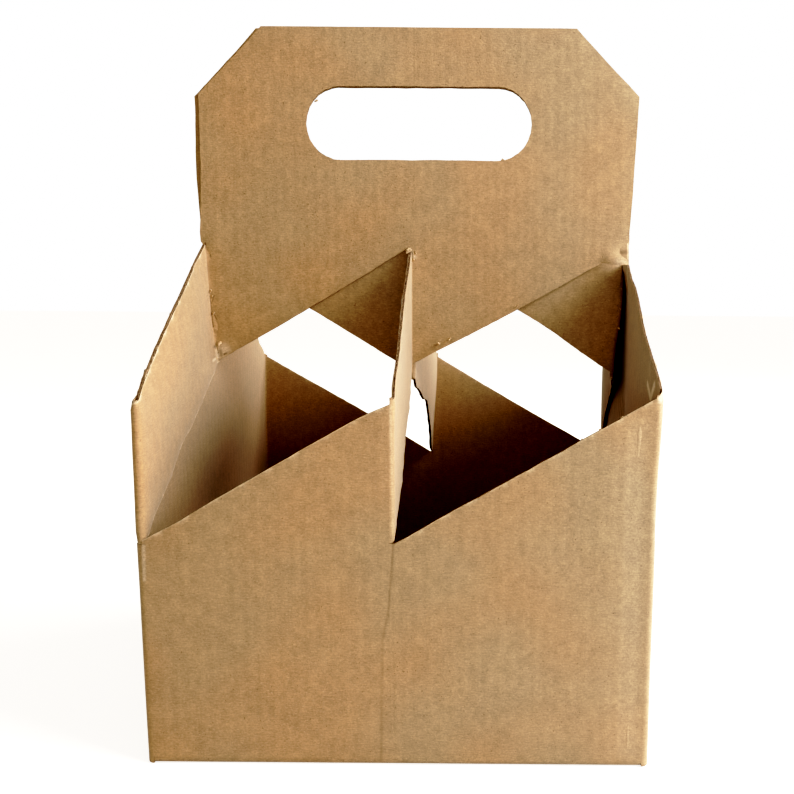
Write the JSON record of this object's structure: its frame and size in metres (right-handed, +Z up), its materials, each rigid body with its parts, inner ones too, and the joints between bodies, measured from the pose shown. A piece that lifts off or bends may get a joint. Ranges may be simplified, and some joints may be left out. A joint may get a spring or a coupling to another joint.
{
  "type": "four-bottle carrier box",
  "caption": "Open-topped folded corrugated carrier with bottle cells, slanted divider straps and a doubled handle panel with a hand hole.",
  "frame": {"origin": "centre of the base, on the surface it stands on", "axes": "+Z up along the height of the handle; +X to the right and +Y to the back, seen from the front"},
  "size_m": [0.1528, 0.148, 0.227],
  "materials": {
    "kraft_board": "matt brown kraft liner over fine vertical flutes, darker cut edges"
  },
  "bodies": {
    "root": {"carrier": "kraft_board"}
  },
  "joints": []
}
